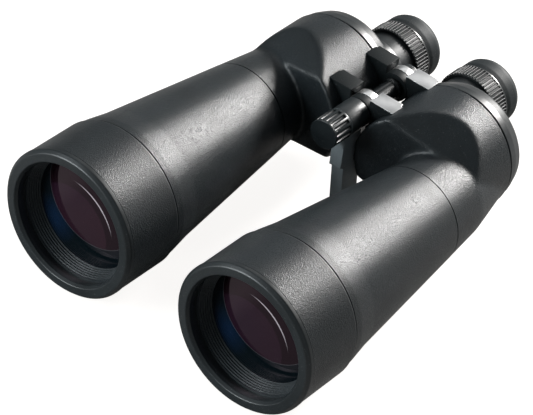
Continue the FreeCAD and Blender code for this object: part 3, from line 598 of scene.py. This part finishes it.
def housing(label):
    """The cast housing: a round form with a leaning bevelled front flowing into the neck."""
    node = label + "_prism_housing"
    low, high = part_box(node)
    neck = Seat(label + "_objective_rim")
    cover = Seat(label + "_prism_cover")
    eye = Seat(label + "_eyepiece_tube")
    radius = (high[2] - low[2]) / 2
    front, back = low[1], high[1]
    spare = 8 * MM

    form = bmesh.new()
    turn = Matrix.Translation((cover.x, (front + back + spare) / 2, (low[2] + high[2]) / 2))
    turn = turn @ Matrix.Rotation(math.pi / 2, 4, "X")
    bmesh.ops.create_cone(form, cap_ends=True, segments=160, radius1=radius, radius2=radius,
                          depth=back + spare - front, matrix=turn)
    inward = Vector((eye.x - neck.x, 0, eye.z - neck.z)).normalized()
    across = Vector((0, 1, 0)).cross(inward)
    lean = inward * math.cos(ROOF_LEAN) - Vector((0, 1, 0)) * math.sin(ROOF_LEAN)
    normal = across.cross(lean).normalized()
    if normal.y < 0:
        normal = -normal
    point = Vector((neck.x, back - ROOF_FRONT, neck.z))
    planes = [(point, normal)]
    for way in (-1, 1):
        run = (across * way + normal * ROOF_SLOPE).normalized()
        slanted = lean.cross(run)
        if slanted.y < 0:
            slanted = -slanted
        planes.append((point + across * way * ROOF_FLAT, slanted))
    for spot, facing in planes:
        cut = bmesh.ops.bisect_plane(form, geom=form.verts[:] + form.edges[:] + form.faces[:],
                                     plane_co=spot, plane_no=facing, clear_inner=True)
        edges = [item for item in cut["geom_cut"] if isinstance(item, bmesh.types.BMEdge)]
        bmesh.ops.contextual_create(form, geom=edges)
    bmesh.ops.recalc_face_normals(form, faces=form.faces)
    block = from_shell(label + "_housing_block", form)

    span = back - front
    cone = turned(label + "_neck_block", neck.x, neck.z, [
        (0.0, front - spare), (32.4 * MM, front - spare), (28 * MM, front + 0.453 * span),
        (20 * MM, back), (17 * MM, back + spare), (0.0, back + spare)], 128)
    piece = merged(block, cone)
    skin = piece.modifiers.new("Cast in one", "REMESH")
    skin.mode = "VOXEL"
    skin.voxel_size = 0.85 * MM
    soften = piece.modifiers.new("Cast edges", "SMOOTH")
    soften.factor = 0.6
    soften.iterations = 26
    piece = settled(piece, 60)

    shell = bmesh.new()
    shell.from_mesh(piece.data)
    bpy.data.objects.remove(piece)
    for along, facing in ((front + 0.3 * MM, 1), (back - 0.9 * MM, -1)):
        cut = bmesh.ops.bisect_plane(shell, geom=shell.verts[:] + shell.edges[:] + shell.faces[:],
                                     plane_co=(0, along, 0), plane_no=(0, facing, 0), clear_inner=True)
        edges = [item for item in cut["geom_cut"] if isinstance(item, bmesh.types.BMEdge)]
        bmesh.ops.contextual_create(shell, geom=edges)
    bmesh.ops.recalc_face_normals(shell, faces=shell.faces)
    finish(from_shell(label + "_housing", shell, 60), GRAINED, label + "_half", "grained_black", node)

    # The dark groove between housing and cover.
    edge = cover.radius + 0.2 * MM
    piece = turned(label + "_cover", cover.x, cover.z, soft_outline([
        (0.0, back - 2 * MM), (radius - 2.6 * MM, back - 2 * MM), (radius - 2.6 * MM, back + 0.6 * MM),
        (edge, back + 0.6 * MM, 0.5 * MM), (edge - 0.9 * MM, back + 6 * MM, 8 * MM),
        (edge - 3.6 * MM, cover.back, 3.4 * MM), (0.0, cover.back)]))
    finish(piece, SATIN, label + "_half", "satin_black", label + "_prism_cover")


# ---------------------------------------------------------------- eyepieces

def eyepiece(label):
    """Base flange, gloss tube, ribbed focus ring and rubber eyecup of one side."""
    half = label + "_half"
    ring_body = label + "_eyepiece_ring"
    base = Seat(label + "_eyepiece_base")
    tube = Seat(label + "_eyepiece_tube")
    ring = Seat(label + "_focus_ring")
    cup = Seat(label + "_eyecup")
    lens = Seat(label + "_eye_lens")
    cell = Seat(label + "_ocular_cell")
    cover = Seat(label + "_prism_cover")
    x, z = tube.x, tube.z

    piece = turned(label + "_flange", x, z, soft_outline([
        (15.5 * MM, cover.back - 3 * MM), (18 * MM, cover.back - 3 * MM), (18 * MM, cover.back + 0.05 * MM),
        (base.radius, cover.back + 0.05 * MM, 0.3 * MM), (base.radius - 0.6 * MM, base.back, 1.3 * MM),
        (15.5 * MM, base.back)]))
    finish(piece, SATIN, half, "satin_black", label + "_eyepiece_base")

    bore = 15.5 * MM
    piece = turned(label + "_tube", x, z, soft_outline([
        (bore, tube.front + 0.1 * MM), (tube.radius - 0.7 * MM, tube.front + 0.1 * MM),
        (tube.radius - 0.7 * MM, tube.front + 0.9 * MM, 0.1 * MM),
        (tube.radius, tube.front + 1.2 * MM, 0.4 * MM), (tube.radius, tube.back, 0.3 * MM),
        (bore, tube.back, 0.3 * MM)]))
    finish(piece, SATIN, half, "gloss_black", label + "_eyepiece_tube")

    rib_height = 0.75 * MM
    core = ring.radius - rib_height
    web = cup.front
    inside = tube.radius + 0.35 * MM
    body_piece = turned(label + "_ring_core", x, z, soft_outline([
        (inside, ring.front), (core, ring.front, 0.2 * MM),
        (core, web - 1.6 * MM), (ring.radius - 0.2 * MM, web - 1.5 * MM, 0.2 * MM),
        (ring.radius - 0.4 * MM, web - 0.05 * MM, 0.3 * MM),
        (17.6 * MM, web - 0.05 * MM), (17.6 * MM, ring.back), (15.1 * MM, ring.back),
        (15.1 * MM, web - 2 * MM), (inside, web - 2 * MM)]))
    ribs = grown(label + "_ring_ribs", RIBS, {
        "Rib Count": 60, "Ring Radius": ring.radius - 0.66 * MM, "Rib Radius": 0.64 * MM,
        "Rib Start": ring.front + 0.4 * MM, "Rib End": web - 1.5 * MM, "Rib Material": GRIP}, x, z)
    finish(merged(body_piece, ribs), GRIP, ring_body, "ribbed_black", label + "_focus_ring")

    rim = cup.back
    piece = turned(label + "_cup", x, z, soft_outline([
        (17.65 * MM, web), (cup.radius - 0.7 * MM, web, 0.5 * MM),
        (cup.radius, web + 3.4 * MM, 5 * MM), (cup.radius - 0.1 * MM, rim - 3.4 * MM, 6 * MM),
        (cup.radius - 1.9 * MM, rim, 1.6 * MM), (17.2 * MM, rim, 0.8 * MM),
        (15.9 * MM, web + 4.4 * MM, 1.0 * MM), (15.9 * MM, web + 3.1 * MM), (17.65 * MM, web + 3.1 * MM)], 7))
    finish(piece, RUBBER, ring_body, "soft_rubber", label + "_eyecup")

    carrier = label + "_ocular"
    piece = turned(label + "_lens_cell", x, z, soft_outline([
        (lens.radius + 0.1 * MM, cell.front), (cell.radius, cell.front), (cell.radius, cell.back, 0.4 * MM),
        (lens.radius + 1.4 * MM, cell.back, 0.4 * MM), (lens.radius - 1 * MM, cell.back - 0.8 * MM, 0.2 * MM),
        (lens.radius - 1 * MM, cell.back - 1 * MM), (lens.radius + 0.1 * MM, cell.back - 1 * MM)]))
    finish(piece, ANODISED, carrier, "anodised_black", label + "_ocular_cell")
    rise = 2.5 * MM
    piece = turned(label + "_eye_glass", x, z, dome(lens.radius, lens.back - rise, rise) + [
        (lens.radius, lens.front), (0.0, lens.front)], 96)
    # The eye glass carries the same painted reflections, shifted sideways.
    glass = coated_lens(label.capitalize() + " coated eye glass", (x - 30 * MM, 0.0, z))
    finish(piece, glass, carrier, "coated_glass", label + "_eye_lens")


# ---------------------------------------------------------------- hinge and post

def hinge():
    """Arms, sleeve, collars, end cap, clamp knob and tripod post."""
    for label, sign in SIDES:
        material, slot = (BRIGHT, "bright_metal") if sign > 0 else (DARK, "gloss_black")
        for end in ("front", "rear"):
            node = "%s_%s_hinge_arm" % (label, end)
            piece = machined_copy("%s_%s_arm" % (label, end), node, 0.45 * MM)
            finish(piece, material, label + "_half", slot, node)
            if sign > 0:
                second_material(piece, DARK, lambda face: face.normal.z < 0.6)

    sleeve = Seat("hinge_sleeve")
    x, z = sleeve.x, sleeve.z
    bore = 4.05 * MM
    piece = turned("hinge_tube", x, z, soft_outline([
        (bore, sleeve.front + 0.1 * MM), (sleeve.radius, sleeve.front + 0.1 * MM, 0.5 * MM),
        (sleeve.radius, sleeve.back - 3.2 * MM, 0.2 * MM),
        (sleeve.radius + 1.0 * MM, sleeve.back - 2.9 * MM, 0.3 * MM),
        (sleeve.radius + 1.0 * MM, sleeve.back - 0.1 * MM, 0.4 * MM), (bore, sleeve.back - 0.1 * MM)]), 96)
    finish(piece, GLOSS, "left_half", "gloss_black", "hinge_sleeve")

    cap = Seat("rear_hinge_cap")
    piece = turned("hinge_end_cap", x, z, soft_outline([
        (0.0, cap.front + 0.1 * MM), (cap.radius, cap.front + 0.1 * MM, 0.2 * MM),
        (cap.radius, cap.back, 0.9 * MM), (cap.radius - 3 * MM, cap.back, 0.2 * MM),
        (cap.radius - 3.4 * MM, cap.back - 0.4 * MM, 0.2 * MM), (0.0, cap.back - 0.4 * MM)]), 96)
    finish(piece, SATIN, "left_half", "satin_black", "rear_hinge_cap")

    piece = machined_copy("fluted_knob", "clamp_knob", 0.3 * MM)
    finish(piece, KNOB, "knob", "knob_black", "clamp_knob")

    piece = machined_copy("post", "tripod_post", 0.5 * MM)
    finish(piece, SATIN, "post", "satin_black", "tripod_post")
    # The bar below the collar and every front face get the light enamel as painted floor light; the collar
    # above stays satin black.
    collar_bottom = z - 9.6 * MM
    second_material(piece, POST_PAINTED_LIGHT, lambda face: face.center.z < collar_bottom or face.normal.y < -0.5)


def dress_inner_nodes():
    """Materials for the CAD nodes that stay as they are."""
    kept = {"objective_cell": ANODISED, "objective_flint": CLEAR, "prism_shelf": ANODISED,
            "front_prism": CLEAR, "rear_prism": CLEAR, "field_lens": CLEAR}
    dressed = {"hinge_axle": STEEL, "hinge_washers": ANODISED, "thread_insert": BRASS}
    for label, _ in SIDES:
        for node, material in kept.items():
            dressed["%s_%s" % (label, node)] = material
    for node, material in dressed.items():
        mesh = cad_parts[node].data
        mesh.materials.clear()
        mesh.materials.append(material)


for label, _ in SIDES:
    objective(label)
    housing(label)
    eyepiece(label)
hinge()
dress_inner_nodes()


# ---------------------------------------------------------------- studio

def floor_material():
    """White to the camera, darker to the other rays so that it throws little light back up."""
    material, tree, shader, place, _ = fresh("White studio floor")
    blotches = stretch(tree, noise(tree, place, 3.0), 0.3, 0.7)
    tone = mix(tree, blotches, (0.22, 0.215, 0.21), (0.26, 0.255, 0.25))
    tree.links.new(tone, shader.inputs["Base Color"])
    shader.inputs["Emission Color"].default_value = (1.0, 0.985, 0.97, 1.0)
    seen = tree.nodes.new("ShaderNodeLightPath").outputs["Is Camera Ray"]
    tree.links.new(math_node(tree, "MULTIPLY", seen, 0.92), shader.inputs["Emission Strength"])
    shader.inputs["Roughness"].default_value = 0.9
    return material


def studio():
    shell = bmesh.new()
    bmesh.ops.create_grid(shell, x_segments=1, y_segments=1, size=6)
    floor = from_shell("floor", shell)
    floor.data.transform(Matrix.Translation((0, 0, -0.0002)))
    floor.data.materials.append(floor_material())

    bpy.context.scene.view_settings.view_transform = "Standard"
    world = bpy.data.worlds.new("Studio")
    bpy.context.scene.world = world
    world.use_nodes = True
    backdrop = world.node_tree.nodes["Background"]
    backdrop.inputs["Color"].default_value = (0.9, 0.97, 1.0, 1.0)
    seen = world.node_tree.nodes.new("ShaderNodeLightPath").outputs["Is Camera Ray"]
    world.node_tree.links.new(stretch(world.node_tree, seen, 0.0, 1.0, 0.2, 1.1),
                              backdrop.inputs["Strength"])

    def softbox(name, toward, away, wide, high, radiance, colour=(1.0, 1.0, 1.0)):
        light = bpy.data.lights.new(name, "AREA")
        light.shape = "RECTANGLE"
        light.size = wide
        light.size_y = high
        light.energy = radiance * math.pi * wide * high
        light.color = colour
        lamp = bpy.data.objects.new(name, light)
        aim = Vector(toward).normalized()
        lamp.location = aim * away
        lamp.rotation_euler = aim.to_track_quat("Z", "Y").to_euler()
        bpy.context.scene.collection.objects.link(lamp)

    softbox("key_light", (0.12, 0.87, 0.48), 1.6, 0.34, 0.34, 135, (1.0, 0.98, 0.96))
    softbox("side_light", (0.5, 0.66, 0.56), 1.6, 0.24, 0.24, 16, (1.0, 0.98, 0.96))
    softbox("back_light", (-0.44, 0.61, 0.65), 1.8, 0.6, 0.6, 1.0)
    softbox("top_light", (-0.35, 0.0, 1.0), 1.7, 0.6, 0.6, 1.2, (0.9, 0.97, 1.0))
    softbox("front_light", (-0.5, -0.8, 0.3), 1.7, 0.8, 0.8, 14, (0.9, 0.97, 1.0))

    lens = bpy.data.cameras.new("Camera")
    lens.lens = 204.01
    lens.sensor_width = 36.0
    camera = bpy.data.objects.new("Camera", lens)
    camera.location = (0.73438, -1.15768, 1.12984)
    camera.rotation_euler = (0.882446, -0.128995, 0.686132)
    bpy.context.scene.collection.objects.link(camera)
    bpy.context.scene.camera = camera


studio()
